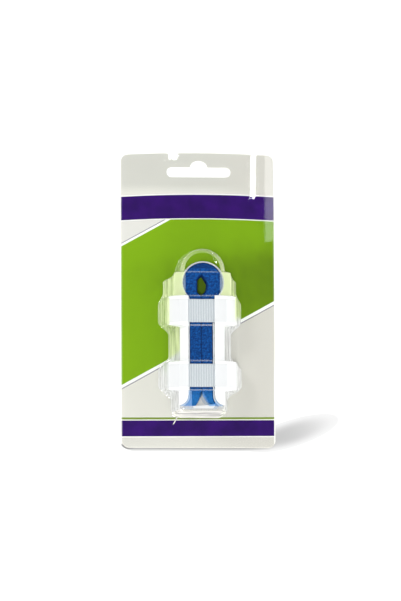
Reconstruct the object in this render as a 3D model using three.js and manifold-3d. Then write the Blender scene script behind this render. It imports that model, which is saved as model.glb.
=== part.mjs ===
// Two-sided finger splint on a hang card, in millimetres.
// The card lies on its back: X runs across it, +Y towards its hang slot and +Z out through the blister.
// The origin is the middle of the card's back face. The splint lies on its side under the blister, so its
// loop head, two legs and two flared feet are all seen edge on.

import * as THREE from "three";
import * as BufferGeometryUtils from "three/addons/utils/BufferGeometryUtils.js";
import Module from "manifold-3d";

const wasm = await Module();
wasm.setup();

// Driving dimensions of the card and its hang slot
const cardWidth = 101.6;
const cardHeight = 195.8;
const cardThickness = 0.6;
const cardCorner = 5;
const topBow = 1.3;
const slotLength = 42.6;
const slotHeight = 6.7;
const slotFromTop = 9.6;
const slotShift = 0.9;
const notchWidth = 11.4;
const notchHeight = 4.4;

// Driving dimensions of the splint: a metal strip bent into a loop head, two legs and two flared feet
const splintLength = 96;
const stripWidth = 19;
const stripThickness = 1;
const legHalf = 8.6;
const headRadius = 14.1;
const headOffset = 1.3;
const headCentreY = 9;
const neckFillet = 2.5;
const footRadius = 6.7;
const footTurn = THREE.MathUtils.degToRad(78);

// Driving dimensions of the foam lining
const foamFaceGap = 0.5;
const footFoamRise = 2.8;
const foamTurn = THREE.MathUtils.degToRad(67);

// Driving dimensions of the hook-and-loop bands
const bandWidth = 15.2;
const bandThickness = 1.5;
const bandHalf = 21.5;
const upperBandBelowHead = 18.6;
const lowerBandAboveFoot = 13.1;
const hookTabEndRoom = 1.1;
const hookTabThickness = 0.8;

// Driving dimensions of the clear blister
const blisterWall = 0.5;
const blisterEdgeInset = 0.4;
const stepRun = 1.2;
const baseEase = 4.5;
const edgeRounding = 1.6;
const roofEndCorner = 2;
const wallEndCorner = 3.3;
const baseEndCorner = 6;
const blisterShift = 1;
const footShift = 0.3;

// How far out the blister's cavity stands, and how far its roof stops short, at the side of what it holds
const domeWallRoom = 0.1;
const domeBaseRoom = 1.5;
const headRoofInset = 2.7;
const headWallRoom = 4.1;
const headBaseRoom = 9.3;
const bandRoofInset = 6.4;
const bandWallRoom = 0.6;
const bandBaseRoom = 5.3;
const legSideRoom = 1.3;
const legWallRoom = 5.7;
const legBaseRoom = 11.4;
const footRoofInset = 0.8;
const footWallRoom = 0.9;
const footBaseRoom = 4.1;

// How far the eaves, where the steep walls begin, lie below the top of what the blister holds
const headEaveDrop = 0.5;
const bandEaveDrop = 5.2;
const legEaveDrop = 5;

// Room that the blister leaves above and beyond what it holds
const headRoofRoom = 1.4;
const legRoofRoom = 0.7;
const bandRoofRoom = 0.4;
const footEaveRoom = 0.25;
const bandEndRoom = 1.7;
const footEndRoom = 2.1;
const roofEndRoom = 1.4;

// Clearance between pieces that rest on each other
const seatGap = 0.3;

// Levels above the card's back, each resting on the one below
const flangeZ = cardThickness + seatGap;
const bandBottomZ = cardThickness + seatGap;
const hookTabZ = bandBottomZ + bandThickness + seatGap;
const splintZ = hookTabZ + hookTabThickness + seatGap;
const splintTopZ = splintZ + stripWidth;
const bandTopZ = splintTopZ + seatGap + bandThickness;
const hookTabLength = 2 * (legHalf - hookTabEndRoom);

// Places along the splint
const footTipDrop = (footRadius + stripThickness) * Math.sin(footTurn);
const splintBottomY = headCentreY + headRadius - splintLength;
const footTopY = splintBottomY + footTipDrop;
const footReach = legHalf + footRadius * (1 - Math.cos(footTurn));
const upperBandY = headCentreY - upperBandBelowHead;
const lowerBandY = footTopY + lowerBandAboveFoot;

// Smoothness of curved outlines
const headSteps = 56;
const filletSteps = 6;
const footSteps = 9;
const bandEndSteps = 20;
const cardCurveSteps = 8;
const domeSteps = 9;
const endCornerSteps = 5;
const roundingSteps = 3;

function material(color, roughness, metalness = 0, opacity = 1) {
  return new THREE.MeshStandardMaterial({ color, roughness, metalness, opacity, transparent: opacity < 1 });
}

function named(name, geometry, finish) {
  const mesh = new THREE.Mesh(geometry, finish);
  mesh.name = name;
  return mesh;
}

function extruded(shape, bottom, depth) {
  const settings = { depth, bevelEnabled: false, curveSegments: cardCurveSteps };
  const geometry = new THREE.ExtrudeGeometry(shape, settings);
  geometry.translate(0, 0, bottom);
  return geometry;
}

// An outline drawn in X and Z, made a solid along Y around a middle
function standing(shape, middleY, width) {
  const geometry = new THREE.ExtrudeGeometry(shape, { depth: width, bevelEnabled: false });
  geometry.rotateX(Math.PI / 2);
  geometry.translate(0, middleY + width / 2, 0);
  return geometry;
}

function solidOf(geometry) {
  geometry.deleteAttribute("normal");
  geometry.deleteAttribute("uv");
  const merged = BufferGeometryUtils.mergeVertices(geometry, 1e-4);
  const corners = merged.index.array;
  const kept = [];
  for (let i = 0; i < corners.length; i += 3) {
    const [a, b, c] = corners.slice(i, i + 3);
    if (a !== b && b !== c && c !== a) {
      kept.push(a, b, c);
    }
  }
  const mesh = new wasm.Mesh({
    numProp: 3,
    vertProperties: new Float32Array(merged.attributes.position.array),
    triVerts: new Uint32Array(kept),
  });
  return new wasm.Manifold(mesh);
}

function geometryOf(solid) {
  const { vertProperties, triVerts } = solid.getMesh();
  const geometry = new THREE.BufferGeometry();
  geometry.setAttribute("position", new THREE.BufferAttribute(new Float32Array(vertProperties), 3));
  geometry.setIndex(new THREE.BufferAttribute(new Uint32Array(triVerts), 1));
  geometry.computeVertexNormals();
  return geometry;
}

function arcPoints(centreX, centreY, radius, from, to, steps) {
  const points = [];
  for (let i = 0; i <= steps; i += 1) {
    const angle = from + ((to - from) * i) / steps;
    points.push(new THREE.Vector2(centreX + radius * Math.cos(angle), centreY + radius * Math.sin(angle)));
  }
  return points;
}

// The card's outline, drawn in by an inset, with rounded corners and a top edge that bows up in the middle
function cardOutline(inset) {
  const halfWidth = cardWidth / 2 - inset;
  const halfHeight = cardHeight / 2 - inset;
  const corner = cardCorner - inset;
  const cornerTop = halfHeight - topBow;
  const shape = new THREE.Shape();
  shape.moveTo(-halfWidth + corner, -halfHeight);
  shape.lineTo(halfWidth - corner, -halfHeight);
  shape.absarc(halfWidth - corner, -halfHeight + corner, corner, -Math.PI / 2, 0, false);
  shape.lineTo(halfWidth, cornerTop - corner);
  shape.absarc(halfWidth - corner, cornerTop - corner, corner, 0, Math.PI / 2, false);
  shape.quadraticCurveTo(0, halfHeight + topBow, -halfWidth + corner, cornerTop);
  shape.absarc(-halfWidth + corner, cornerTop - corner, corner, Math.PI / 2, Math.PI, false);
  shape.lineTo(-halfWidth, -halfHeight + corner);
  shape.absarc(-halfWidth + corner, -halfHeight + corner, corner, Math.PI, 1.5 * Math.PI, false);
  return shape;
}

// The hang slot: a long round-ended slot with a round peg notch in the middle of its upper edge
function hangSlot() {
  const radius = slotHeight / 2;
  const middleY = cardHeight / 2 - slotFromTop - radius;
  const endX = slotLength / 2 - radius;
  const slot = new THREE.Path();
  slot.absarc(slotShift + endX, middleY, radius, -Math.PI / 2, Math.PI / 2, false);
  slot.absellipse(slotShift, middleY + radius, notchWidth / 2, notchHeight, 0, Math.PI, false);
  slot.absarc(slotShift - endX, middleY, radius, Math.PI / 2, 1.5 * Math.PI, false);
  return slot;
}

function backingCard() {
  const shape = cardOutline(0);
  shape.holes.push(hangSlot());
  return named("backing_card", extruded(shape, 0, cardThickness), material(0x7aaf21, 0.55));
}

// One side of the bent strip at a depth in from its outer face, from near the foot's tip up to the head
function legSide(side, depth, turn) {
  const flareX = side * (legHalf + footRadius);
  const filletX = side * (legHalf + neckFillet);
  const reach = headRadius + neckFillet;
  const filletY = headCentreY - Math.sqrt(reach ** 2 - (filletX - headOffset) ** 2);
  const toHead = Math.atan2(headCentreY - filletY, headOffset - filletX);
  const inwards = side < 0 ? 0 : Math.PI;
  const flare = arcPoints(flareX, footTopY, footRadius + depth, inwards + side * turn, inwards, footSteps);
  const neck = arcPoints(filletX, filletY, neckFillet + depth, inwards, toHead, filletSteps);
  return [...flare, ...neck];
}

// The whole strip line at a depth: up the left leg, round the head and down the right leg
function stripLine(depth, turn) {
  const left = legSide(-1, depth, turn);
  const right = legSide(1, depth, turn);
  const start = left[left.length - 1];
  const end = right[right.length - 1];
  const from = Math.atan2(start.y - headCentreY, start.x - headOffset) + 2 * Math.PI;
  const to = Math.atan2(end.y - headCentreY, end.x - headOffset);
  const head = arcPoints(headOffset, headCentreY, headRadius - depth, from, to, headSteps);
  return [...left, ...head.slice(1, -1), ...right.reverse()];
}

function splintStrip() {
  const outer = stripLine(0, footTurn);
  const inner = stripLine(stripThickness, footTurn);
  const shape = new THREE.Shape([...outer, ...inner.reverse()]);
  return named("splint_strip", extruded(shape, splintZ, stripWidth), material(0xd4d8dc, 0.32, 0.9));
}

// Corners of the finger hole in the loop's foam, as shares of the head's radius from its centre.
// The slit between the foam faces runs into its lower edge
const slitTopShare = -0.6;
const holeCorners = [
  { across: 0.1, along: -0.56 },
  { across: 0.21, along: -0.36 },
  { across: 0.235, along: -0.02 },
  { across: -0.055, along: 0.45 },
  { across: -0.29, along: 0.21 },
  { across: -0.29, along: -0.5 },
];

// Inner edges of the foam at the feet: across as a share of the foot's reach from the middle, and down as a
// share of the drop from where the faces part to the foot's lowest edge
const rightFootEdge = [
  { across: 0.79, down: 0.985 },
  { across: 0.664, down: 0.92 },
  { across: 0.5, down: 0.83 },
  { across: 0.319, down: 0.73 },
  { across: 0.2, down: 0.6 },
  { across: 0.13, down: 0.455 },
  { across: 0.06, down: 0.25 },
];
const leftFootEdge = [
  { across: 0.05, down: 0.3 },
  { across: 0.113, down: 0.56 },
  { across: 0.17, down: 0.755 },
  { across: 0.343, down: 1 },
];

function foamLiner() {
  const partingY = footTopY + footFoamRise;
  const drop = footTipDrop + footFoamRise;
  const slitX = foamFaceGap / 2;
  const slitTopY = headCentreY + slitTopShare * headRadius;
  const footPoint = (row, side) => new THREE.Vector2(side * row.across * footReach, partingY - row.down * drop);
  const holePoint = (row) =>
    new THREE.Vector2(headOffset + row.across * headRadius, headCentreY + row.along * headRadius);
  const shape = new THREE.Shape([
    ...stripLine(stripThickness + seatGap, foamTurn),
    ...rightFootEdge.map((row) => footPoint(row, 1)),
    new THREE.Vector2(slitX, partingY),
    new THREE.Vector2(slitX, slitTopY),
    ...holeCorners.map(holePoint),
    new THREE.Vector2(-slitX, slitTopY),
    new THREE.Vector2(-slitX, partingY),
    ...leftFootEdge.map((row) => footPoint(row, -1)),
  ]);
  return named("foam_liner", extruded(shape, splintZ, stripWidth), material(0x0d4488, 0.95));
}

// The oval of a band seen along the splint: flat front and back runs and round ends
function ovalPoints(inset) {
  const outerRadius = (bandTopZ - bandBottomZ) / 2;
  const middleZ = (bandTopZ + bandBottomZ) / 2;
  const endX = bandHalf - outerRadius;
  return [
    ...arcPoints(endX, middleZ, outerRadius - inset, -Math.PI / 2, Math.PI / 2, bandEndSteps),
    ...arcPoints(-endX, middleZ, outerRadius - inset, Math.PI / 2, 1.5 * Math.PI, bandEndSteps),
  ];
}

function band(name, middleY) {
  const shape = new THREE.Shape(ovalPoints(0));
  shape.holes.push(new THREE.Path(ovalPoints(bandThickness)));
  return named(name, standing(shape, middleY, bandWidth), material(0xf2f4f4, 0.85));
}

function hookTab(name, middleY) {
  const geometry = new THREE.BoxGeometry(hookTabLength, bandWidth, hookTabThickness);
  geometry.translate(0, middleY, hookTabZ + hookTabThickness / 2);
  return named(name, geometry, material(0xe6e8e8, 0.7));
}

// Cross-sections of the blister's cavity. middle is where it is centred, flat half of its level roof, wall half
// of its width where the steep wall begins, base half of its width at the card, roof and eave the heights of
// the first two
const dome = {
  middle: blisterShift,
  flat: headRadius - headRoofInset,
  wall: headRadius + domeWallRoom,
  base: headRadius + domeBaseRoom,
  roof: splintTopZ + legRoofRoom,
  eave: splintTopZ + footEaveRoom,
};
const headZone = {
  middle: blisterShift,
  flat: headRadius - headRoofInset,
  wall: headRadius + headWallRoom,
  base: headRadius + headBaseRoom,
  roof: splintTopZ + headRoofRoom,
  eave: splintTopZ - headEaveDrop,
};
const bandZone = {
  middle: blisterShift,
  flat: bandHalf - bandRoofInset,
  wall: bandHalf + bandWallRoom,
  base: bandHalf + bandBaseRoom,
  roof: bandTopZ + bandRoofRoom,
  eave: bandTopZ - bandEaveDrop,
};
const legZone = {
  middle: blisterShift,
  flat: legHalf + legSideRoom,
  wall: legHalf + legWallRoom,
  base: legHalf + legBaseRoom,
  roof: splintTopZ + legRoofRoom,
  eave: splintTopZ - legEaveDrop,
};
const footZone = {
  middle: footShift,
  flat: legHalf - footRoofInset,
  wall: footReach + footWallRoom,
  base: footReach + footBaseRoom,
  roof: splintTopZ + legRoofRoom,
  eave: splintTopZ + footEaveRoom,
};

// Where the zones meet, from the hang slot's side downwards
const bandZoneHalf = bandWidth / 2 + bandEndRoom;
const domeStepY = headCentreY + 0.46 * headRadius;
const boundaries = [
  { y: domeStepY, above: dome, below: headZone },
  { y: upperBandY + bandZoneHalf, above: headZone, below: bandZone },
  { y: upperBandY - bandZoneHalf, above: bandZone, below: legZone },
  { y: lowerBandY + bandZoneHalf, above: legZone, below: bandZone },
  { y: lowerBandY - bandZoneHalf, above: bandZone, below: footZone },
];

// A polyline in space with its inner corners rounded off, always with the same number of points
function roundedLine(points) {
  const line = [points[0]];
  for (let i = 1; i < points.length - 1; i += 1) {
    const before = points[i - 1].clone().sub(points[i]);
    const after = points[i + 1].clone().sub(points[i]);
    const cut = Math.min(edgeRounding, before.length() / 2.5, after.length() / 2.5);
    const from = points[i].clone().add(before.setLength(cut));
    const to = points[i].clone().add(after.setLength(cut));
    const bend = new THREE.QuadraticBezierCurve3(from, points[i], to);
    line.push(...bend.getPoints(roundingSteps));
  }
  line.push(points[points.length - 1]);
  return line;
}

// One arch of the cavity, from the card on the left over the roof to the card on the right. grow is the
// wall's thickness on the outer skin and nothing on the inner one, and sunk is how far it dips into the flange
function arch(middle, corners, grow, sunk) {
  const { base, wall, flat } = corners;
  const foot = flangeZ + grow;
  const side = (sign) => [
    new THREE.Vector3(middle + sign * base.x, base.y, foot - sunk),
    new THREE.Vector3(middle + sign * base.x, base.y, foot),
    new THREE.Vector3(middle + sign * wall.x, wall.y, wall.z),
    new THREE.Vector3(middle + sign * flat.x, flat.y, flat.z),
  ];
  return roundedLine([...side(-1), ...side(1).reverse()]);
}

function straightArch(zone, base, y, grow, sunk) {
  const corners = {
    base: { x: base + grow, y },
    wall: { x: zone.wall + grow, y, z: zone.eave + grow },
    flat: { x: zone.flat + grow, y, z: zone.roof + grow },
  };
  return arch(zone.middle, corners, grow, sunk);
}

// The round top of the dome, as a fan of arches about one centre
function domeArches(centreY, grow, sunk) {
  const arches = [];
  for (let i = 0; i <= domeSteps; i += 1) {
    const angle = (Math.PI / 2) * (1 - i / domeSteps);
    const onCircle = (radius, z) => ({
      x: (radius + grow) * Math.cos(angle),
      y: centreY + (radius + grow) * Math.sin(angle),
      z,
    });
    const corners = {
      base: onCircle(dome.base, 0),
      wall: onCircle(dome.wall, dome.eave + grow),
      flat: onCircle(dome.flat, dome.roof + grow),
    };
    arches.push(arch(dome.middle, corners, grow, sunk));
  }
  return arches;
}

// The squared end below the feet, with round corners in plan at each level
function endArches(grow, sunk) {
  const wallEndY = splintBottomY - footEndRoom;
  const levels = {
    base: { half: footZone.base, end: wallEndY - (footZone.base - footZone.wall) * 0.8, corner: baseEndCorner },
    wall: { half: footZone.wall, end: wallEndY, corner: wallEndCorner, z: footZone.eave + grow },
    flat: { half: footZone.flat, end: wallEndY + roofEndRoom, corner: roofEndCorner, z: footZone.roof + grow },
  };
  const arches = [];
  for (let i = 0; i <= endCornerSteps; i += 1) {
    const angle = ((Math.PI / 2) * i) / endCornerSteps;
    const corners = {};
    for (const [name, level] of Object.entries(levels)) {
      const inset = level.half - level.corner;
      corners[name] = {
        x: inset + (level.corner + grow) * Math.cos(angle),
        y: level.end + level.corner - (level.corner + grow) * Math.sin(angle),
        z: level.z,
      };
    }
    arches.push(arch(footZone.middle, corners, grow, sunk));
  }
  return arches;
}

// All arches of one skin. A step moves by the wall's thickness towards the narrower zone, so that the wall is
// as thick there, and the base widens over a longer stretch than the roof
function skinArches(grow, sunk) {
  const arches = [];
  for (const [i, { y, above, below }] of boundaries.entries()) {
    const stepY = y + grow * Math.sign(below.wall - above.wall);
    const share = stepRun / 2 / baseEase;
    const upperBase = above.base + ((below.base - above.base) * (1 - share)) / 2;
    const lowerBase = above.base + ((below.base - above.base) * (1 + share)) / 2;
    if (i === 0) {
      arches.push(...domeArches(stepY + stepRun / 2, grow, sunk));
    } else {
      arches.push(straightArch(above, above.base, stepY + baseEase, grow, sunk));
      arches.push(straightArch(above, upperBase, stepY + stepRun / 2, grow, sunk));
    }
    arches.push(straightArch(below, lowerBase, stepY - stepRun / 2, grow, sunk));
    arches.push(straightArch(below, below.base, stepY - baseEase, grow, sunk));
  }
  return [...arches, ...endArches(grow, sunk)];
}

// A closed body through arches that all have the same number of points, with a flat underside
function lofted(arches) {
  const count = arches[0].length;
  const at = (row, point) => row * count + point;
  const triangles = [];
  for (let row = 0; row + 1 < arches.length; row += 1) {
    for (let point = 0; point < count; point += 1) {
      const next = (point + 1) % count;
      triangles.push(at(row, point), at(row + 1, point), at(row, next));
      triangles.push(at(row, next), at(row + 1, point), at(row + 1, next));
    }
  }
  const last = arches.length - 1;
  for (let point = 0; point + 1 < count / 2; point += 1) {
    const mirror = count - 1 - point;
    triangles.push(at(0, point), at(0, point + 1), at(0, mirror));
    triangles.push(at(0, point + 1), at(0, mirror - 1), at(0, mirror));
    triangles.push(at(last, point), at(last, mirror), at(last, point + 1));
    triangles.push(at(last, point + 1), at(last, mirror), at(last, mirror - 1));
  }
  const geometry = new THREE.BufferGeometry();
  geometry.setAttribute("position", new THREE.Float32BufferAttribute(arches.flat().flatMap((p) => p.toArray()), 3));
  geometry.setIndex(triangles);
  return geometry;
}

function blister() {
  const flangeShape = cardOutline(blisterEdgeInset);
  flangeShape.holes.push(hangSlot());
  const flange = solidOf(extruded(flangeShape, flangeZ, blisterWall));
  const outerSkin = solidOf(lofted(skinArches(blisterWall, blisterWall / 2)));
  const cavity = solidOf(lofted(skinArches(0, blisterWall)));
  const shell = flange.add(outerSkin).subtract(cavity);
  return named("blister", geometryOf(shell), material(0xf4f8f8, 0.08, 0, 0.25));
}

const splint = new THREE.Group();
splint.add(splintStrip(), foamLiner());
splint.add(band("upper_band", upperBandY), hookTab("upper_hook_tab", upperBandY));
splint.add(band("lower_band", lowerBandY), hookTab("lower_hook_tab", lowerBandY));

const group = new THREE.Group();
group.add(backingCard(), splint, blister());

export default group;
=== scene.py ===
"""Finger splint under a clear blister on a hang card, dressed over its CAD frame."""

import math

import bmesh
import bpy
from mathutils import Matrix, Vector, noise


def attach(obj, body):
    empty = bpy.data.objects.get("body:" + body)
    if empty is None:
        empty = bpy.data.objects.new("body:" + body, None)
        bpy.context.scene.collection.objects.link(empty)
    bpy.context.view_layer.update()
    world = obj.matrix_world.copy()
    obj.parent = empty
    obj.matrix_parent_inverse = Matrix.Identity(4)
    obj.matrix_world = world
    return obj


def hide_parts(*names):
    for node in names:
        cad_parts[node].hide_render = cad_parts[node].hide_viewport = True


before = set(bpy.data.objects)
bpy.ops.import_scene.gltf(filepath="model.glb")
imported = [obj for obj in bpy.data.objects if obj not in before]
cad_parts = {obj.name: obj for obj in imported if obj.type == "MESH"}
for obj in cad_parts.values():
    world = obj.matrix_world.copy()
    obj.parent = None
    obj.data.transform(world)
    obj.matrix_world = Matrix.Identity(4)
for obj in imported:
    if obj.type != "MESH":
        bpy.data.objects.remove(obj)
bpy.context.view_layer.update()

# Sizes from the CAD model, in millimetres. Pieces are shaped in millimetres and made metres when finished
CARD_WIDTH = 101.6
CARD_HEIGHT = 195.8
CARD_CORNER = 5
TOP_BOW = 1.3
SLOT_LENGTH = 42.6
SLOT_HEIGHT = 6.7
SLOT_MIDDLE_X = 0.9
SLOT_MIDDLE_Y = 84.95
NOTCH_WIDTH = 11.4
NOTCH_HEIGHT = 4.4

STRIP_WIDTH = 19
STRIP_THICKNESS = 1
LEG_HALF = 8.6
HEAD_RADIUS = 14.1
HEAD_OFFSET = 1.3
HEAD_CENTRE_Y = 9
NECK_FILLET = 2.5
FOOT_RADIUS = 6.7
FOOT_TURN = math.radians(78)
FOOT_TOP_Y = -65.37
FOOT_TIP_DROP = 7.53
FOOT_REACH = 13.91
FOAM_TURN = math.radians(67)
FOOT_FOAM_RISE = 2.8
SPLINT_Z = 3.8

BAND_WIDTH = 15.2
BAND_HALF = 21.5
BAND_WALL = 1.15
RIB_PITCH = 1.65
BAND_BOTTOM_Z = 0.9
BAND_TOP_Z = 24.6
UPPER_BAND_Y = -9.6
LOWER_BAND_Y = -52.27

FLANGE_Z = 0.9
BLISTER_WALL = 0.5
SHEET_WALL = 0.45
BLISTER_EDGE_INSET = 0.4

FOAM_VOXEL = 0.36
FOAM_GAP = 0.15
HOLE_SLANT = 1.2
HOLE_WAIST = 0.78


def smooth_share(value, start, end):
    share = min(max((value - start) / (end - start), 0), 1)
    return share * share * (3 - 2 * share)


def mix(first, second, share):
    return first + (second - first) * share


def linear(code):
    """A colour written as six hex digits, as the shader takes it."""
    channels = [int(code[i:i + 2], 16) / 255 for i in (0, 2, 4)]
    return tuple(c / 12.92 if c <= 0.04045 else ((c + 0.055) / 1.055) ** 2.4 for c in channels) + (1,)


class Wire:
    """A number that varies over a surface. Arithmetic on it adds Math nodes."""

    def __init__(self, finish, socket):
        self.finish = finish
        self.socket = socket

    def math(self, operation, first, second=0.0):
        node = self.finish.add("ShaderNodeMath", {"Value": first, "Value_001": second}, operation=operation)
        return Wire(self.finish, node.outputs["Value"])

    def __add__(self, other):
        return self.math("ADD", self, other)

    def __radd__(self, other):
        return self.math("ADD", other, self)

    def __sub__(self, other):
        return self.math("SUBTRACT", self, other)

    def __rsub__(self, other):
        return self.math("SUBTRACT", other, self)

    def __mul__(self, other):
        return self.math("MULTIPLY", self, other)

    def __rmul__(self, other):
        return self.math("MULTIPLY", other, self)

    def __truediv__(self, other):
        return self.math("DIVIDE", self, other)

    def __pow__(self, other):
        return self.math("POWER", self, other)

    def __abs__(self):
        return self.math("ABSOLUTE", self)

    def sine(self):
        return self.math("SINE", self)

    def least(self, other):
        return self.math("MINIMUM", self, other)

    def most(self, other):
        return self.math("MAXIMUM", self, other)

    def above(self, edge, soft=0.25):
        """0 below the edge and 1 above it, turning over a soft stretch."""
        spread = {"Value": self, "From Min": edge - soft / 2, "From Max": edge + soft / 2}
        node = self.finish.add("ShaderNodeMapRange", spread, interpolation_type="SMOOTHSTEP")
        return Wire(self.finish, node.outputs["Result"])

    def between(self, low, high, soft=0.25):
        return self.above(low, soft) - self.above(high, soft)


class Finish:
    """One procedural material."""

    def __init__(self, name):
        self.material = bpy.data.materials.new(name)
        self.material.use_nodes = True
        self.tree = self.material.node_tree
        self.tree.nodes.clear()

    def add(self, kind, sockets=None, **settings):
        """A node with its settings made first, then its sockets' values or links."""
        node = self.tree.nodes.new(kind)
        for name, value in settings.items():
            setattr(node, name, value)
        for name, value in (sockets or {}).items():
            matching = [s for s in node.inputs if s.identifier == name] or [node.inputs[name]]
            if isinstance(value, Wire):
                self.tree.links.new(value.socket, matching[0])
            elif isinstance(value, bpy.types.NodeSocket):
                self.tree.links.new(value, matching[0])
            else:
                matching[0].default_value = value
        return node

    def place(self, stretch=(1, 1, 1)):
        """Object coordinates in millimetres, stretched along each axis."""
        where = self.add("ShaderNodeTexCoord").outputs["Object"]
        scale = tuple(1000 * s for s in stretch)
        return self.add("ShaderNodeMapping", {"Vector": where, "Scale": scale}).outputs["Vector"]

    def axes(self, vector):
        parts = self.add("ShaderNodeSeparateXYZ", {"Vector": vector})
        return [Wire(self, parts.outputs[i]) for i in range(3)]

    def joined(self, x, y, z):
        return self.add("ShaderNodeCombineXYZ", {"X": x, "Y": y, "Z": z}).outputs["Vector"]

    def own(self, name):
        """A value kept on the piece's own points."""
        return self.add("ShaderNodeAttribute", attribute_name=name)

    def noise(self, vector, scale, detail=3.0, roughness=0.55):
        sockets = {"Vector": vector, "Scale": scale, "Detail": detail, "Roughness": roughness}
        return Wire(self, self.add("ShaderNodeTexNoise", sockets).outputs["Fac"])

    def cells(self, vector, scale):
        node = self.add("ShaderNodeTexVoronoi", {"Vector": vector, "Scale": scale}, feature="F1")
        return Wire(self, node.outputs["Distance"])

    def blend(self, share, first, second, way="MIX"):
        sockets = {"Factor_Float": share, "A_Color": first, "B_Color": second}
        node = self.add("ShaderNodeMix", sockets, data_type="RGBA", blend_type=way)
        return next(s for s in node.outputs if s.identifier == "Result_Color")

    def bump(self, height, distance, strength):
        sockets = {"Height": height, "Distance": distance * 0.001, "Strength": strength}
        return self.add("ShaderNodeBump", sockets).outputs["Normal"]

    def mixed(self, share, first, second):
        sockets = {"Fac": share, "Shader": first, "Shader_001": second}
        return self.add("ShaderNodeMixShader", sockets).outputs["Shader"]

    def surface(self, shader):
        output = self.add("ShaderNodeOutputMaterial")
        self.tree.links.new(shader, output.inputs["Surface"])
        return self.material

    def principled(self, **sockets):
        named = {name.replace("_", " "): value for name, value in sockets.items()}
        return self.add("ShaderNodeBsdfPrincipled", named).outputs["BSDF"]


def along(x, y, start, direction):
    """How far a point of the print lies to the left of a line through start."""
    length = math.hypot(*direction)
    dx, dy = direction[0] / length, direction[1] / length
    return (y - start[1]) * dx - (x - start[0]) * dy


def card_print():
    look = Finish("printed_card")
    where = look.place()
    x, y, z = look.axes(where)
    grain = look.noise(where, 3.2, 4, 0.6)
    cloud = look.noise(where, 0.09, 3, 0.5)
    soft = 0.22
    half_width, half_height = CARD_WIDTH / 2, CARD_HEIGHT / 2
    header_bow = 1.53

    # Bare stock, with painted shade making it a little darker to the top, the bottom and the right
    stock = look.blend(y.above(74, 8), linear("dcdad1"), linear("c9c8c0"))
    stock = look.blend(y.above(-84, 6), linear("d2d0c8"), stock)
    stock = look.blend(x.above(22, 50) * 0.9, stock, linear("cac7bf"))
    bow = header_bow - (x / half_width) ** 2 * header_bow
    level = y - x * 0.005

    # Green field between two slanting lines, with a pale triangle above it
    slope = x * -0.008 - y * 0.004 + y.above(30, 30) * 0.6
    green_light = (slope + cloud * 0.35 + 0.4).above(0.5, 1.0)
    field = look.blend(green_light, linear("5c7b08"), linear("7ea90d"))
    upper_line = along(x, y, (-50.8, 35.3), (33.65, 18.6))
    lower_line = along(x, y, (-50.25, -58.94), (82.35, 45.6))
    colour = look.blend(lower_line.above(2.2, soft), stock, field)
    colour = look.blend(lower_line.between(0.25, 2.2, soft), colour, linear("f6f6f2"))
    colour = look.blend(lower_line.between(-0.25, 0.25, soft) * 0.85, colour, linear("3a3360"))
    colour = look.blend(upper_line.above(1.5, soft), colour, linear("dad8d2"))
    colour = look.blend(upper_line.between(-0.1, 1.5, soft), colour, linear("f6f6f2"))
    colour = look.blend(upper_line.between(1.4, 1.85, soft) * 0.85, colour, linear("4a4470"))

    # Purple header with white lines, bowed as the card's top is
    header_low = level - bow
    header_share = header_low.between(52.8, 68.5, soft)
    colour = look.blend(header_low.above(52.2, soft), colour, linear("f4f3ef"))
    colour = look.blend(header_low.above(69.2, soft), colour, stock)
    purple = look.blend(cloud.above(0.5, 0.5), linear("290557"), linear("34086b"))
    colour = look.blend(header_share, colour, purple)

    # Green and purple stripes at the bottom
    colour = look.blend(level.between(-79.1, -77.7, soft), colour, linear("7d9340"))
    colour = look.blend(level.between(-79.7, -79.1, soft), colour, linear("f0efe9"))
    colour = look.blend(level.between(-90.2, -79.7, soft), colour, purple)
    colour = look.blend(level.between(-90.9, -90.2, soft), colour, linear("f0efe9"))

    # Unprinted back, a pale strip down the lower right edge, paper grain and a worn rim
    colour = look.blend(z.above(0.35, 0.2), linear("d8d3c6"), colour)
    speck = 1.0 - grain.above(0.62, 0.2) * 0.06
    colour = look.blend(1.0, colour, look.joined(speck, speck, speck), "MULTIPLY")
    pale_right_edge = x.above(50.1, 0.3) * (1.0 - y.above(-45, 30))
    colour = look.blend(pale_right_edge * 0.9, colour, linear("f3f2ee"))
    rim = (abs(x) - half_width + 0.6).above(0, 0.7).most((abs(y) - half_height + 0.7).above(0, 0.7))
    colour = look.blend(rim * grain.above(0.5, 0.2) * 0.5, colour, linear("e9e7e0"))

    fibres = look.noise(look.place((0.5, 6, 2)), 1.4, 3, 0.6)
    height = grain * 0.5 + fibres * 0.5
    shader = look.principled(
        Base_Color=colour,
        Roughness=0.42 + grain * 0.14,
        Specular_IOR_Level=0.1,
        Normal=look.bump(height, 0.02, 0.35),
    )
    return look.surface(shader)


def brushed_metal():
    look = Finish("brushed_aluminium")
    run = Wire(look, look.own("run").outputs["Fac"])
    z = look.axes(look.place())[2]
    brushing = look.noise(look.joined(run * 0.25, z * 9, 0.0), 1.0, 5, 0.7)
    smears = look.noise(look.place(), 0.16, 3, 0.5)
    colour = look.blend(brushing, linear("c3c7cb"), linear("f2f4f6"))
    colour = look.blend(smears.above(0.6, 0.3) * 0.3, colour, linear("aeb3b8"))
    shader = look.principled(
        Base_Color=colour,
        Metallic=0.85,
        Roughness=0.27 + brushing * 0.16 + smears * 0.06,
        Normal=look.bump(brushing, 0.012, 0.4),
    )
    return look.surface(shader)


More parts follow.
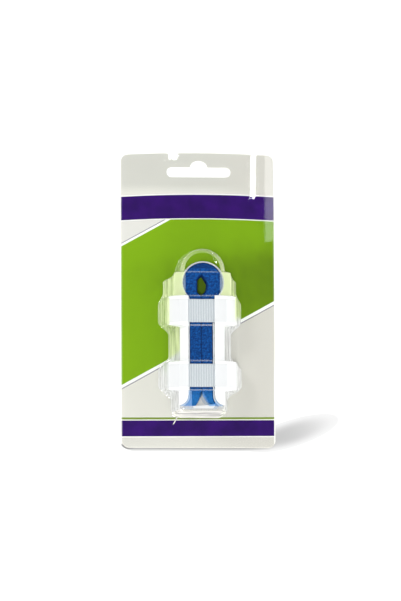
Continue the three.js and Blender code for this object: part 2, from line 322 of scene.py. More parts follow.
def blue_foam():
    look = Finish("blue_foam")
    where = look.place()
    x, y, z = look.axes(where)
    pores = look.cells(where, 1.9)
    fine = look.noise(where, 2.6, 4, 0.65)
    cloud = look.noise(where, 0.35, 3, 0.5)
    foot = 1.0 - y.above(-62.5, 9)
    base = look.blend(cloud.above(0.5, 0.45), linear("0a3470"), linear("0f4183"))
    base = look.blend(foot * 0.9, base, linear("2a76b6"))
    base = look.blend((1.0 - y.above(-1, 3)) * (1.0 - foot) * 0.3, base, linear("062a58"))
    # Painted shade: the top of the head's foam is made darker
    head_top_painted_shade = y.above(18.2, 0.6)
    fleck = look.noise(where, 0.8, 3, 0.6)
    base = look.blend(fleck.above(0.54, 0.14) * 0.55, base, linear("1460b4"))
    base = look.blend(fine.above(0.56, 0.2) * 0.45, base, linear("1d6dbd"))
    base = look.blend((1.0 - fleck.above(0.44, 0.12)) * 0.4, base, linear("07285c"))
    base = look.blend((1.0 - pores.above(0.28, 0.3)) * 0.55, base, linear("062552"))
    base = look.blend(head_top_painted_shade * 0.5, base, linear("062350"))
    # Painted light: the feet's side walls below the top face are made lighter blue
    foot_side_painted_light = foot * (1.0 - z.above(20.6, 0.8))
    base = look.blend(foot_side_painted_light * 0.7, base, linear("8fc4ec"))
    # Painted shade: a dark line down the slit between the legs
    slit_painted_shade = (1.0 - abs(x + cloud * 0.3 - 0.15).above(0.35, 0.5)) * y.between(-62, 1, 0.5)
    base = look.blend(slit_painted_shade * 0.75, base, linear("041b40"))
    crumb = pores * 0.7 + fine * 0.6
    shader = look.principled(
        Base_Color=base,
        Roughness=0.92,
        Specular_IOR_Level=0.12,
        Normal=look.bump(crumb, 0.22, 0.55),
    )
    return look.surface(shader)


def white_band():
    look = Finish("white_band")
    run = Wire(look, look.own("run").outputs["Fac"])
    where = look.place()
    y = look.axes(where)[1]
    rib = (run * (math.tau / RIB_PITCH)).sine() * 0.5 + 0.5
    picks = (y * (math.tau / 0.62) + rib * 2.2).sine() * 0.5 + 0.5
    fluff = look.noise(where, 4.5, 4, 0.7)
    colour = look.blend(rib.above(0.5, 1.0), linear("b6bcc1"), linear("cbd0d3"))
    colour = look.blend(fluff.above(0.62, 0.2) * 0.25, colour, linear("e9edee"))
    shader = look.principled(
        Base_Color=colour,
        Roughness=0.86,
        Sheen_Weight=0.2,
        Normal=look.bump(picks * 0.6 + fluff * 0.5, 0.1, 0.5),
    )
    return look.surface(shader)


def hook_tape():
    look = Finish("hook_tape")
    where = look.place()
    x, y = look.axes(where)[:2]
    stem_turn = math.tau / 0.9
    stems = (x * stem_turn).sine() * (y * stem_turn).sine()
    fluff = look.noise(where, 3.0, 3, 0.6)
    colour = look.blend(stems.above(0.35, 0.5), linear("c9ced2"), linear("f3f5f5"))
    shader = look.principled(
        Base_Color=colour,
        Roughness=0.55 + fluff * 0.2,
        Normal=look.bump(stems + fluff * 0.4, 0.2, 0.8),
    )
    return look.surface(shader)


def clear_plastic():
    """Clear formed sheet: bare over the roof, milky over shoulders and walls, the milk partly haze and partly painted
    reflection, with painted highlights and painted light in places.
    """
    look = Finish("clear_plastic")
    where = look.place()
    x, y = look.axes(where)[:2]
    span, shoulder, wall = look.axes(look.own("haze").outputs["Vector"])
    step = Wire(look, look.own("step").outputs["Fac"])
    on_end = 1.0 - y.above(-74.4, 1.2)

    # Zones over the pieces that the blister holds
    head_x, head_y = x - HEAD_OFFSET, y - HEAD_CENTRE_Y
    over_head = 1.0 - (head_x * head_x + head_y * head_y).above(185, 20)
    flare_x, flare_y = abs(x) - (LEG_HALF + FOOT_RADIUS), y - FOOT_TOP_Y
    in_flare = 1.0 - (flare_x * flare_x + flare_y * flare_y).above(41, 6)
    over_feet = (1.0 - in_flare) * y.between(-72.3, -62, 0.5) * (1.0 - abs(x).above(14.0, 0.6))
    past_upper = y.between(-18.3, -0.9, 0.4) * (1.0 - x.between(-20.6, 22.5, 0.7))
    past_lower = y.between(-61.0, -43.6, 0.4) * (1.0 - x.between(-22.0, 21.7, 0.7))
    off_legs = abs(x).above(8.7, 0.2) * y.between(-65.4, 0.3, 0.3) * (1.0 - past_upper - past_lower)
    over_bands = y.between(-17.2, -2.0, 0.3) + y.between(-59.9, -44.7, 0.3)
    # Painted reflection: the sheet beside the legs is made milky white
    beside_legs = off_legs.most(in_flare) * (1.0 - span.above(1.98, 0.06)) * (1.0 - over_bands * 0.35)

    # How milky: haze and painted reflection on shoulders and streaked walls, then painted highlight lines where the
    # sheet bends
    down_walls = look.noise(look.place((2.0, 0.06, 0.3)), 0.6, 3, 0.55)
    along_end = look.noise(look.place((0.05, 1.6, 0.3)), 0.6, 3, 0.55)
    ripple = down_walls + (along_end - down_walls) * on_end
    streak = ((ripple - 0.5) * 3.6 + 1.0).most(0.2)
    shoulder_haze_and_reflection = span.between(1.0, 2.0, 0.06) * shoulder * (1.0 - over_head * 0.45)
    wall_haze_and_reflection = span.between(2.0, 3.0, 0.08) * wall * streak * (1.0 + on_end * 0.8)
    haze_and_painted_light = (shoulder_haze_and_reflection + wall_haze_and_reflection).most(beside_legs * 0.72)
    # Painted highlights: pale lines along the eave, along the wall's foot and across the steps
    eave = span.between(1.96, 2.04, 0.07) * (0.08 + wall * 0.6) * (1.0 - on_end * 0.5)
    foot = span.between(2.94, 3.08, 0.08) * (0.02 + wall * 0.8) * (1.0 - on_end * 0.55)
    across = (1.0 - step.above(0.3, 0.3)) * (1.0 - span.above(3.0, 0.2))
    haze_and_painted_light = haze_and_painted_light.most(eave).most(foot).most(across * 0.16)

    # Painted light: pale veils that lighten the shade between and below the feet, and a pale diagonal streak in the
    # flange
    breadth = (y + 62.6) * -0.52
    painted_light_between_feet = (1.0 - (abs(x - 0.9) - breadth).above(-0.4, 1.3)) * y.between(-73.0, -63.4, 1.2)
    painted_light_below_feet = (1.0 - (y - x * 0.085).above(-71.9, 1.0)) * (1.0 - span.above(1.0, 0.4))
    off_pale_streak = abs(along(x, y, (-15.05, -79.45), (3.9, 6.9)))
    pale_streak = (1.0 - off_pale_streak.above(0.28, 0.3)) * y.between(-82.3, -76.0, 1.6)
    haze_and_painted_light = haze_and_painted_light.most(painted_light_between_feet * 0.17).most(painted_light_below_feet * 0.45).most(pale_streak * 0.7).least(0.97)

    # Tints painted into the milky sheet as the light it picks up from the green field and the blue foam under it
    lower_line = along(x, y, (-50.25, -58.94), (82.35, 46.74))
    over_green = lower_line.above(2.2, 4.0) * span.between(1.0, 3.4, 0.2) * (1.0 - beside_legs.above(0.3, 0.3))
    foot_tips = over_feet * (abs(x) * 1.6 + y).above(-64.5, 3.0)
    over_blue = over_head.most(foot_tips) * (1.0 - beside_legs.above(0.2, 0.2))
    tint = look.blend(on_end, linear("f6f7f7"), linear("f3f1e9"))
    tint = look.blend(over_green, tint, linear("f3fdc9"))
    tint = look.blend(over_blue, tint, linear("aabdc8"))
    tint = look.blend(over_blue * over_feet, tint, linear("93c1f2"))
    cloudy = look.principled(Base_Color=tint, Roughness=0.3)

    waves = look.noise(where, 0.07, 2, 0.5) * (1.004 - span.above(3.2, 0.5))
    swell = look.bump(waves, 0.8, 0.35)
    clear = look.add("ShaderNodeBsdfTransparent", {"Color": (0.985, 0.99, 0.99, 1)}).outputs["BSDF"]
    shine = look.add("ShaderNodeBsdfGlossy", {"Color": (1, 1, 1, 1), "Roughness": 0.015, "Normal": swell})
    fresnel = Wire(look, look.add("ShaderNodeFresnel", {"IOR": 1.45, "Normal": swell}).outputs["Fac"])
    gloss = (fresnel * 0.75).least(0.2) * (0.4 + step.above(1.0, 1.0) * 0.6)
    sheet = look.mixed(gloss, clear, shine.outputs["BSDF"])
    return look.surface(look.mixed(haze_and_painted_light, sheet, cloudy))


def arc(centre_x, centre_y, radius, start, end, steps):
    turns = [start + (end - start) * i / steps for i in range(steps + 1)]
    return [(centre_x + radius * math.cos(a), centre_y + radius * math.sin(a)) for a in turns]


def chain(bm, points, closed=False):
    """Points joined by edges, as the start of a surface."""
    verts = [bm.verts.new(p) for p in points]
    pairs = list(zip(verts, verts[1:]))
    if closed:
        pairs.append((verts[-1], verts[0]))
    return verts, [bm.edges.new(pair) for pair in pairs]


def extrude_faces(bm, faces, shift):
    made = bmesh.ops.extrude_face_region(bm, geom=faces)["geom"]
    verts = [g for g in made if isinstance(g, bmesh.types.BMVert)]
    bmesh.ops.translate(bm, verts=verts, vec=shift)
    return verts, [g for g in made if isinstance(g, bmesh.types.BMFace)]


def settle(made, sharp=38):
    """Applies the piece's modifiers, smooth but for edges sharper than an angle."""
    graph = bpy.context.evaluated_depsgraph_get()
    mesh = bpy.data.meshes.new_from_object(made.evaluated_get(graph), depsgraph=graph)
    made.modifiers.clear()
    made.data = mesh
    for polygon in mesh.polygons:
        polygon.use_smooth = True
    mesh.set_sharp_from_angle(angle=math.radians(sharp))


def piece(bm, name, finish, node):
    """The bmesh as a finished object at the origin, standing for its CAD node."""
    bmesh.ops.scale(bm, vec=(0.001, 0.001, 0.001), verts=bm.verts)
    mesh = bpy.data.meshes.new(name)
    bm.to_mesh(mesh)
    bm.free()
    for polygon in mesh.polygons:
        polygon.use_smooth = True
    mesh.materials.append(finish)
    made = bpy.data.objects.new(name, mesh)
    bpy.context.scene.collection.objects.link(made)
    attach(made, "root")
    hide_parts(node)
    return made


def soft_edges(made, width, segments=2, angle=35):
    bevel = made.modifiers.new("soft_edges", "BEVEL")
    bevel.width = width * 0.001
    bevel.segments = segments
    bevel.limit_method = "ANGLE"
    bevel.angle_limit = math.radians(angle)
    bevel.harden_normals = True
    return bevel


def leg_side(side, depth, turn):
    """One side of the bent strip at a depth in from its outer face, from near the foot's tip to the head."""
    flare_x = side * (LEG_HALF + FOOT_RADIUS)
    fillet_x = side * (LEG_HALF + NECK_FILLET)
    reach = HEAD_RADIUS + NECK_FILLET
    fillet_y = HEAD_CENTRE_Y - math.sqrt(reach ** 2 - (fillet_x - HEAD_OFFSET) ** 2)
    to_head = math.atan2(HEAD_CENTRE_Y - fillet_y, HEAD_OFFSET - fillet_x)
    inwards = 0 if side < 0 else math.pi
    flare = arc(flare_x, FOOT_TOP_Y, FOOT_RADIUS + depth, inwards + side * turn, inwards, 18)
    straight = [(side * (LEG_HALF - depth), mix(FOOT_TOP_Y, fillet_y, i / 12)) for i in range(1, 12)]
    neck = arc(fillet_x, fillet_y, NECK_FILLET + depth, inwards, to_head, 10)
    return flare + straight + neck


def strip_line(depth, turn):
    """The whole strip's line at a depth: up the left leg, round the head and down the right leg."""
    left = leg_side(-1, depth, turn)
    right = leg_side(1, depth, turn)
    start = math.atan2(left[-1][1] - HEAD_CENTRE_Y, left[-1][0] - HEAD_OFFSET) + math.tau
    end = math.atan2(right[-1][1] - HEAD_CENTRE_Y, right[-1][0] - HEAD_OFFSET)
    head = arc(HEAD_OFFSET, HEAD_CENTRE_Y, HEAD_RADIUS - depth, start, end, 96)
    return left + head[1:-1] + right[::-1]


def make_strip():
    """The aluminium strip: its edge line drawn out to the strip's width."""
    bm = bmesh.new()
    run = bm.verts.layers.float.new("run")
    loops = []
    for depth in (0, STRIP_THICKNESS):
        points = [(x, y, SPLINT_Z) for x, y in strip_line(depth, FOOT_TURN)]
        verts, edges = chain(bm, points)
        for i, vert in enumerate(verts):
            vert[run] = i * 1.4
        loops += edges
    faces = bmesh.ops.bridge_loops(bm, edges=loops)["faces"]
    extrude_faces(bm, faces, (0, 0, STRIP_WIDTH))
    bmesh.ops.recalc_face_normals(bm, faces=bm.faces)
    made = piece(bm, "bent_strip", brushed_metal(), "splint_strip")
    soft_edges(made, 0.22, 3, 50)
    return made


HOLE_CORNERS = [(0.1, -0.56), (0.21, -0.36), (0.235, -0.02), (-0.055, 0.45), (-0.29, 0.21), (-0.29, -0.5)]
RIGHT_FOOT_EDGE = [
    (0.79, 0.985), (0.664, 0.92), (0.5, 0.83), (0.319, 0.73), (0.2, 0.6), (0.13, 0.455), (0.06, 0.25),
]
LEFT_FOOT_EDGE = [(0.05, 0.3), (0.113, 0.56), (0.17, 0.755), (0.343, 1)]


def foam_outline():
    """The foam's face, and which of its points are corners of the finger hole."""
    parting_y = FOOT_TOP_Y + FOOT_FOAM_RISE
    drop = FOOT_TIP_DROP + FOOT_FOAM_RISE
    slit = 0.3
    slit_top_y = HEAD_CENTRE_Y - 0.6 * HEAD_RADIUS
    outline = strip_line(STRIP_THICKNESS + 0.12, FOAM_TURN)
    outline += [(a * FOOT_REACH, parting_y - d * drop) for a, d in RIGHT_FOOT_EDGE]
    outline += [(slit, parting_y), (slit, slit_top_y)]
    first_hole = len(outline)
    outline += [(HEAD_OFFSET + a * HEAD_RADIUS, HEAD_CENTRE_Y + b * HEAD_RADIUS) for a, b in HOLE_CORNERS]
    last_hole = len(outline)
    outline += [(-slit, slit_top_y), (-slit, parting_y)]
    outline += [(-a * FOOT_REACH, parting_y - d * drop) for a, d in LEFT_FOOT_EDGE]
    return outline, range(first_hole, last_hole)


def make_foam():
    """The foam lining: a thick cut block whose finger hole narrows half way down, with a crumbly skin."""
    outline, hole = foam_outline()
    bm = bmesh.new()
    in_hole = bm.verts.layers.int.new("in_hole")
    verts, edges = chain(bm, [(x, y, SPLINT_Z + FOAM_GAP) for x, y in outline], closed=True)
    for i in hole:
        verts[i][in_hole] = 1
        verts[i].co.x += HOLE_SLANT
    bmesh.ops.triangle_fill(bm, edges=edges, use_beauty=True)
    faces = bm.faces[:]
    levels = 8
    rise = (STRIP_WIDTH - 2 * FOAM_GAP) / levels
    centre = (HEAD_OFFSET - 0.03 * HEAD_RADIUS, HEAD_CENTRE_Y)
    for level in range(1, levels + 1):
        made, faces = extrude_faces(bm, faces, (0, 0, rise))
        depth = 2 * level / levels - 1
        bulge = mix(HOLE_WAIST, 1, depth ** 2)
        before = mix(HOLE_WAIST, 1, (depth - 2 / levels) ** 2)
        for vert in made:
            if vert[in_hole]:
                vert.co.x = centre[0] + (vert.co.x - centre[0]) * bulge / before - HOLE_SLANT / levels
                vert.co.y = centre[1] + (vert.co.y - centre[1]) * bulge / before
    bmesh.ops.recalc_face_normals(bm, faces=bm.faces)
    made = piece(bm, "foam_lining", blue_foam(), "foam_liner")
    remesh = made.modifiers.new("skin", "REMESH")
    remesh.mode = "VOXEL"
    remesh.voxel_size = FOAM_VOXEL * 0.001
    settle(made, 180)
    rough = bmesh.new()
    rough.from_mesh(made.data)
    for _ in range(2):
        bmesh.ops.smooth_vert(rough, verts=rough.verts, factor=0.5, use_axis_x=True, use_axis_y=True, use_axis_z=True)
    rough.normal_update()
    for vert in rough.verts:
        where = vert.co * 1000
        crumb = noise.noise(where * 0.9) * 0.1 + noise.noise(where * 0.28 + Vector((7, 3, 1))) * 0.1 - 0.05
        vert.co += vert.normal * crumb * 0.001
    rough.to_mesh(made.data)
    rough.free()
    for polygon in made.data.polygons:
        polygon.use_smooth = True
    return made


def band_oval(steps_along, steps_round):
    """The band's outer line seen along the splint, in X and Z, from the middle of its back."""
    radius = (BAND_TOP_Z - BAND_BOTTOM_Z) / 2
    middle_z = (BAND_TOP_Z + BAND_BOTTOM_Z) / 2
    end_x = BAND_HALF - radius
    right = arc(end_x, middle_z, radius, -math.pi / 2, math.pi / 2, steps_round)
    left = arc(-end_x, middle_z, radius, math.pi / 2, 1.5 * math.pi, steps_round)
    top = [(mix(end_x, -end_x, i / steps_along), BAND_TOP_Z) for i in range(1, steps_along)]
    bottom = [(mix(-end_x, end_x, i / steps_along), BAND_BOTTOM_Z) for i in range(1, steps_along)]
    return right + top + left + bottom


def make_band(name, node, middle_y, seed):
    """A woven strap closed to an oval, its ribs running across it and fading into plain edges."""
    bm = bmesh.new()
    run = bm.verts.layers.float.new("run")
    oval = band_oval(94, 180)
    verts, edges = chain(bm, [(x, middle_y - BAND_WIDTH / 2, z) for x, z in oval], closed=True)
    length = 0.0
    for i, vert in enumerate(verts):
        if i:
            length += (vert.co - verts[i - 1].co).length
        vert[run] = length
    whole = length + (verts[0].co - verts[-1].co).length
    ribs = round(whole / RIB_PITCH)
    for vert in verts:
        vert[run] *= ribs * RIB_PITCH / whole
    shares = [0, 0.02, 0.045, 0.075, 0.12, 0.2, 0.35, 0.5, 0.65, 0.8, 0.88, 0.925, 0.955, 0.98, 1]
    for before, after in zip(shares, shares[1:]):
        made = bmesh.ops.extrude_edge_only(bm, edges=edges)["geom"]
        edges = [g for g in made if isinstance(g, bmesh.types.BMEdge)]
        moved = [g for g in made if isinstance(g, bmesh.types.BMVert)]
        bmesh.ops.translate(bm, verts=moved, vec=(0, (after - before) * BAND_WIDTH, 0))
    bmesh.ops.recalc_face_normals(bm, faces=bm.faces)
    bm.normal_update()
    middle = Vector((0, middle_y, (BAND_TOP_Z + BAND_BOTTOM_Z) / 2))
    outward = sum(f.normal.dot(f.calc_center_median() - middle) for f in bm.faces)
    if outward < 0:
        bmesh.ops.reverse_faces(bm, faces=bm.faces)
        bm.normal_update()
    for vert in bm.verts:
        share = (vert.co.y - middle_y) / BAND_WIDTH + 0.5
        inside = smooth_share(min(share, 1 - share), 0.03, 0.09)
        groove = 0.5 - 0.5 * math.sin(vert[run] * math.tau / RIB_PITCH)
        edge = (1 - inside) * 0.1
        vert.co -= vert.normal * (0.1 * inside * groove + edge)
        sway = noise.noise(Vector((vert[run] * 0.05, seed, 0))) * 0.25
        vert.co.y += sway
    made = piece(bm, name, white_band_finish, node)
    wall = made.modifiers.new("thickness", "SOLIDIFY")
    wall.thickness = BAND_WALL * 0.001
    wall.offset = -1
    soft_edges(made, 0.3, 3, 60)
    return made


# Sections of the blister's outer skin: half-widths of its roof, eave and base, heights of roof and eave, and
# how milky the sheet is on its shoulder and on its wall, partly haze and partly painted reflection
DOME = dict(middle=1, ridge=1, flat=11.4, wall=14.2, base=15.6, roof=23.5, eave=23.05, shoulder=0.06, haze=0.05)
HEAD_ZONE = dict(middle=1, ridge=1, flat=10.9, wall=18.2, base=23.4, roof=24.2, eave=22.3, shoulder=0.4, haze=0.46)
BAND_ZONE = dict(middle=1, ridge=1, flat=15.1, wall=22.1, base=26.8, roof=25.0, eave=19.4, shoulder=0.5, haze=0.4)
LEG_ZONE = dict(middle=1, ridge=1, flat=9.9, wall=14.3, base=20.0, roof=23.5, eave=17.8, shoulder=0.75, haze=0.4)
FOOT_ZONE = dict(
    middle=0.3, ridge=1.2, flat=7.2, wall=14.81, base=18.01, roof=23.5, eave=23.05, shoulder=0.24, haze=0.4
)
STEPS = [
    (15.49, DOME, HEAD_ZONE),
    (-0.3, HEAD_ZONE, BAND_ZONE),
    (-18.9, BAND_ZONE, LEG_ZONE),
    (-42.97, LEG_ZONE, BAND_ZONE),
    (-61.57, BAND_ZONE, FOOT_ZONE),
]
STEP_OFFSETS = [4.5, 3.4, 2.3, 1.3, 0.75, 0.5, 0.25, 0, -0.25, -0.5, -0.75, -1.3, -2.3, -3.4, -4.5]
BASE_EASE = 4.5
ROOF_EASE = 0.75
RIM = 1.3
WALL_END_Y = -75.0
BASE_CORNER, WALL_CORNER, ROOF_CORNER = 6, 3.3, 2
ROOF_END_ROOM = 1.4

# How far a point of the skin lies down its arch (0 at the ridge, 1 and 2 at the shoulder's edges, 3 at the
# wall's foot, more on the rim), and a distance from the nearest step that counts as far
RIM_SPAN, FOOT_SPAN, EAVE_SPAN, ROOF_SPAN, SHEET_SPAN = 3.6, 3.0, 2.0, 1.0, 4.0
FAR_FROM_STEP = 5.0


def rounded(points, cut, steps):
    """A line in space with its inner corners rounded off, as place and share of the corner passed."""
    line = [(points[0], 0.0)]
    for i in range(1, len(points) - 1):
        if not cut[i]:
            line.append((points[i], float(i)))
            continue
        before, after = points[i - 1] - points[i], points[i + 1] - points[i]
        size = min(cut[i], before.length / 2.5, after.length / 2.5)
        start = points[i] + before.normalized() * size
        end = points[i] + after.normalized() * size
        for k in range(steps + 1):
            t = k / steps
            line.append((start * (1 - t) ** 2 + points[i] * 2 * t * (1 - t) + end * t ** 2, i + t - 0.5))
    line.append((points[-1], float(len(points) - 1)))
    return line


def section(corners, zone, step, middle=0.0):
    """One arch of the blister over its corners: rim, base, wall, roof edge and ridge, left to right."""
    spans = [RIM_SPAN, FOOT_SPAN, EAVE_SPAN, ROOF_SPAN]
    cuts = [0, 1.1, 1.3, 0.5]
    middles = [zone["middle"]] * 3 + [zone["ridge"]]
    left = [Vector((m - x, y, z)) for m, (x, y, z) in zip(middles, corners)]
    right = [Vector((m + x, y, z)) for m, (x, y, z) in zip(middles, corners)][::-1]
    ridge = (left[-1] + right[0]) / 2
    line = rounded(left + [ridge] + right, cuts + [0] + cuts[::-1], 5)
    known = spans + [middle] + spans[::-1]
    points = []
    for place, corner in line:
        low = min(int(corner), len(known) - 1)
        high = min(low + 1, len(known) - 1)
        points.append((place, mix(known[low], known[high], corner - low)))
    return points, zone, step


def straight_section(y, zone, base, step):
    grow = BLISTER_WALL
    foot = FLANGE_Z + grow
    corners = [
        (base + grow + RIM, y, foot),
        (base + grow, y, foot),
        (zone["wall"] + grow, y, zone["eave"] + grow),
        (zone["flat"] + grow, y, zone["roof"] + grow),
    ]
    return section(corners, zone, step)


def zone_mix(above, below, share):
    return {key: mix(above[key], below[key], share) for key in above}


def dome_sections():
    grow = BLISTER_WALL
    centre_y = STEPS[0][0] + grow + ROOF_EASE
    made = []
    for i in range(25):
        angle = math.pi / 2 * (1 - i / 24)
        radii = [(DOME["base"] + grow + RIM, FLANGE_Z + grow), (DOME["base"] + grow, FLANGE_Z + grow)]
        radii += [(DOME["wall"] + grow, DOME["eave"] + grow), (DOME["flat"] + grow, DOME["roof"] + grow)]
        corners = [(r * math.cos(angle), centre_y + r * math.sin(angle), z) for r, z in radii]
        zone = dict(DOME, shoulder=mix(0.25, 0.08, math.sin(angle)), haze=mix(0.2, 0.05, math.sin(angle)))
        made.append(section(corners, zone, FAR_FROM_STEP if i < 24 else ROOF_EASE, math.sin(angle)))
    return made


def end_sections():
    """Round corners in plan below the feet, and the middle line of the end wall last."""
    grow = BLISTER_WALL
    foot = FLANGE_Z + grow
    base_end = WALL_END_Y - (FOOT_ZONE["base"] - FOOT_ZONE["wall"]) * 0.8
    levels = [
        (FOOT_ZONE["base"] + RIM, base_end - RIM, BASE_CORNER + RIM, foot),
        (FOOT_ZONE["base"], base_end, BASE_CORNER, foot),
        (FOOT_ZONE["wall"], WALL_END_Y, WALL_CORNER, FOOT_ZONE["eave"] + grow),
        (FOOT_ZONE["flat"], WALL_END_Y + ROOF_END_ROOM, ROOF_CORNER, FOOT_ZONE["roof"] + grow),
    ]
    made = []
    for i in range(13):
        angle = math.pi / 2 * i / 12
        corners = []
        for half, end, corner, z in levels:
            size = corner + grow
            corners.append((half - corner + size * math.cos(angle), end + corner - size * math.sin(angle), z))
        made.append(section(corners, FOOT_ZONE, FAR_FROM_STEP, math.sin(angle)))
    made.append(section([(0, y, z) for _, y, z in corners], FOOT_ZONE, FAR_FROM_STEP, 1.0))
    return made


def skin_sections():
    made = dome_sections()
    for i, (step_y, above, below) in enumerate(STEPS):
        shift = BLISTER_WALL if below["wall"] > above["wall"] else -BLISTER_WALL
        middle = step_y + shift
        for offset in STEP_OFFSETS:
            if i == 0 and offset >= ROOF_EASE:
                continue
            upper = smooth_share(-offset, -ROOF_EASE, ROOF_EASE)
            zone = zone_mix(above, below, upper)
            first = -ROOF_EASE if i == 0 else -BASE_EASE
            base = mix(above["base"], below["base"], smooth_share(-offset, first, BASE_EASE))
            made.append(straight_section(middle + offset, zone, base, offset))
    return made + end_sections()


def card_outline(inset):
    half_x = CARD_WIDTH / 2 - inset
    half_y = CARD_HEIGHT / 2 - inset
    corner = CARD_CORNER - inset
    side_top = half_y - TOP_BOW
    line = arc(half_x - corner, -half_y + corner, corner, -math.pi / 2, 0, 8)
    line += arc(half_x - corner, side_top - corner, corner, 0, math.pi / 2, 8)
    for i in range(1, 16):
        t = i / 16
        bow = 2 * t * (1 - t) * (half_y + TOP_BOW) + ((1 - t) ** 2 + t ** 2) * side_top
        line.append((mix(half_x - corner, -half_x + corner, t), bow))
    line += arc(-half_x + corner, side_top - corner, corner, math.pi / 2, math.pi, 8)
    line += arc(-half_x + corner, -half_y + corner, corner, math.pi, 1.5 * math.pi, 8)
    return line


def hang_slot():
    radius = SLOT_HEIGHT / 2
    end_x = SLOT_LENGTH / 2 - radius
    line = arc(end_x, SLOT_MIDDLE_Y, radius, -math.pi / 2, math.pi / 2, 12)
    top = SLOT_MIDDLE_Y + radius
    for i in range(17):
        turn = math.pi * i / 16
        line.append((math.cos(turn) * NOTCH_WIDTH / 2, top + math.sin(turn) * NOTCH_HEIGHT))
    line += arc(-end_x, SLOT_MIDDLE_Y, radius, math.pi / 2, 1.5 * math.pi, 12)
    return [(SLOT_MIDDLE_X + x, y) for x, y in line]


def make_blister():
    """The clear blister: its formed skin bridged from section to section, and the flat sheet round it."""
    bm = bmesh.new()
    haze = bm.verts.layers.float_vector.new("haze")
    step_mark = bm.verts.layers.float.new("step")
    loops = []
    for points, zone, step in skin_sections():
        verts, edges = chain(bm, [p for p, _ in points])
        for vert, (_, span) in zip(verts, points):
            vert[haze] = (span, zone["shoulder"], zone["haze"])
            vert[step_mark] = abs(step)
        loops.append(edges)
    for first, second in zip(loops, loops[1:]):
        bmesh.ops.bridge_loops(bm, edges=first + second)
    bmesh.ops.remove_doubles(bm, verts=bm.verts, dist=0.002)
    bmesh.ops.recalc_face_normals(bm, faces=bm.faces)
    rim = [e for e in bm.edges if e.is_boundary]
    foot = FLANGE_Z + BLISTER_WALL
    outline, outer_edges = chain(bm, [(x, y, foot) for x, y in card_outline(BLISTER_EDGE_INSET)], closed=True)
    slot, slot_edges = chain(bm, [(x, y, foot) for x, y in hang_slot()], closed=True)
    for vert in outline + slot:
        vert[haze] = (SHEET_SPAN, 0, 0)
        vert[step_mark] = FAR_FROM_STEP
    bmesh.ops.triangle_fill(bm, edges=rim + outer_edges + slot_edges, use_beauty=True, normal=(0, 0, 1))
    bmesh.ops.recalc_face_normals(bm, faces=bm.faces)
    bm.normal_update()
    top = max(bm.faces, key=lambda f: f.calc_center_median().z)
    if top.normal.z < 0:
        bmesh.ops.reverse_faces(bm, faces=bm.faces)
    made = piece(bm, "clear_blister", clear_plastic(), "blister")
    wall = made.modifiers.new("thickness", "SOLIDIFY")
    wall.thickness = SHEET_WALL * 0.001
    wall.offset = -1
    settle(made)
    return made


def dress(node, finish):
    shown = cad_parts[node]
    shown.data.materials.clear()
    shown.data.materials.append(finish)


def make_floor():
    bm = bmesh.new()
    bmesh.ops.create_grid(bm, x_segments=8, y_segments=8, size=6)
    bmesh.ops.translate(bm, verts=bm.verts, vec=(0, 0, -0.0002))
    mesh = bpy.data.meshes.new("floor")
    bm.to_mesh(mesh)
    bm.free()
    look = Finish("pale_floor")
    x, y = look.axes(look.place())[:2]
    fine = look.noise(look.place(), 0.02, 2, 0.5)
    colour = look.blend(fine, (0.93, 0.93, 0.93, 1), (0.95, 0.95, 0.95, 1))

    # A soft shade that leans out from the card's lower right corner
    out, over = (x - 62) * 0.95 + (y + 88) * 0.3, (y + 88) * 0.95 - (x - 62) * 0.3
    spread = out * out * 0.0021 + over * over * 0.028
    core = (1.0 - spread.above(1.0, 2.0)) * (1.0 - out.above(10, 50) * 0.6)
    soft_shade = (1.0 - spread.above(2.4, 0.8)) * 0.5 + core * 0.36

    # Shade close under the card's lower edge, darkest round its lower left corner
    edge_shade = (1.0 - abs(y + 98.2).above(1.8, 3.6)) * x.above(-46, 5) * (1.0 - x.above(54, 50))
    colour = look.blend(soft_shade.most(edge_shade * 0.86), colour, linear("8f8f8f"))
    corner_x, corner_y = x + 45.8, y + 92.9
    from_corner = corner_x * corner_x + corner_y * corner_y
    low_left = (1.0 - corner_x.above(1.0, 6)) * (1.0 - corner_y.above(-2.4, 2.4))
    corner_shade = (1.0 - from_corner.above(37, 18)) * low_left
    colour = look.blend(corner_shade * 0.9, colour, linear("585858"))
    mesh.materials.append(look.surface(look.principled(Base_Color=colour, Roughness=0.8)))
    floor = bpy.data.objects.new("floor", mesh)
    bpy.context.scene.collection.objects.link(floor)


def soft_light(name, place, aim, size, power, size_y=None):
    data = bpy.data.lights.new(name, "AREA")
    data.shape = "RECTANGLE"
    data.size = size
    data.size_y = size_y or size
    data.energy = power
    light = bpy.data.objects.new(name, data)
    bpy.context.scene.collection.objects.link(light)
    light.location = place
    light.rotation_euler = (Vector(aim) - Vector(place)).to_track_quat("-Z", "Y").to_euler()
    return light


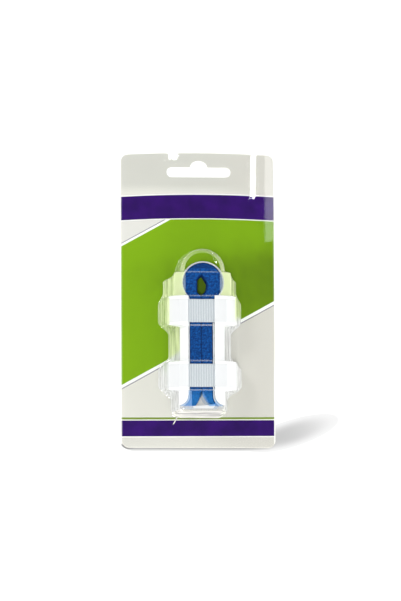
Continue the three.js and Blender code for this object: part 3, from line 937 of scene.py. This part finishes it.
def make_studio():
    """A pale room that is dim overhead, a soft key from the upper left and a soft light beside the lens."""
    world = bpy.data.worlds.new("pale_room")
    bpy.context.scene.world = world
    world.use_nodes = True
    nodes, links = world.node_tree.nodes, world.node_tree.links
    place = nodes.new("ShaderNodeTexCoord")
    parts = nodes.new("ShaderNodeSeparateXYZ")
    links.new(place.outputs["Generated"], parts.inputs["Vector"])
    dim = nodes.new("ShaderNodeMapRange")
    dim.interpolation_type = "SMOOTHSTEP"
    for name, value in {"From Min": 0.72, "From Max": 0.93, "To Min": 1.0, "To Max": 0.05}.items():
        dim.inputs[name].default_value = value
    links.new(parts.outputs["Z"], dim.inputs["Value"])
    background = nodes["Background"]
    background.inputs["Color"].default_value = (1, 1, 1, 1)
    links.new(dim.outputs["Result"], background.inputs["Strength"])
    soft_light("key", (-1.1, 1.0, 1.5), (0, 0, 0), 0.6, 11)
    soft_light("front", (-0.42, -0.5, 3.2), (0, 0, 0), 0.35, 39)
    for fill in (
        soft_light("right_fill", (1.5, 0.1, 0.8), (0, 0, 0), 0.8, 9),
        soft_light("low_fill", (0.1, -1.6, 0.8), (0, 0, 0), 0.8, 12),
    ):
        fill.visible_glossy = False
    soft_light("slim_panel", (0.2533, 0.3662, 2), (0.2533, 0.3662, 0), 0.005, 0.02, 0.05)
    soft_light("edge_panel", (0.2712, 0.3426, 2), (0.2712, 0.3426, 0), 0.0095, 0.009, 0.098)
    soft_light("corner_panel", (0.164, 0.3885, 2), (0.164, 0.3885, 0), 0.009, 0.006, 0.007)
    bpy.context.scene.view_settings.view_transform = "Standard"


def make_camera():
    """Long lens from a little left of and below the card's square-on view, with the photograph's frame."""
    data = bpy.data.cameras.new("camera")
    data.lens = 272.3
    data.sensor_width = 36
    data.sensor_fit = "AUTO"
    data.clip_end = 20
    camera = bpy.data.objects.new("camera", data)
    bpy.context.scene.collection.objects.link(camera)
    back = Vector((-math.tan(math.radians(5.5)), -math.tan(math.radians(6.5)), 1)).normalized()
    level = (Vector((1, 0, 0)) - back * back.x).normalized()
    upright = (Vector((0, 1, 0)) - back * back.y).normalized().cross(back)
    across = (level + upright).normalized()
    up = back.cross(across)
    turn = Matrix((across, up, back)).transposed().to_4x4()
    target = Vector((0.0018, -0.0003, 0))
    camera.matrix_world = Matrix.Translation(target + back * 3) @ turn
    bpy.context.scene.camera = camera


make_camera()
make_studio()
make_floor()

white_band_finish = white_band()
hook_tape_finish = hook_tape()
dress("backing_card", card_print())
dress("upper_hook_tab", hook_tape_finish)
dress("lower_hook_tab", hook_tape_finish)
make_strip()
make_foam()
make_band("upper_strap", "upper_band", UPPER_BAND_Y, 1.7)
make_band("lower_strap", "lower_band", LOWER_BAND_Y, 5.3)
make_blister()
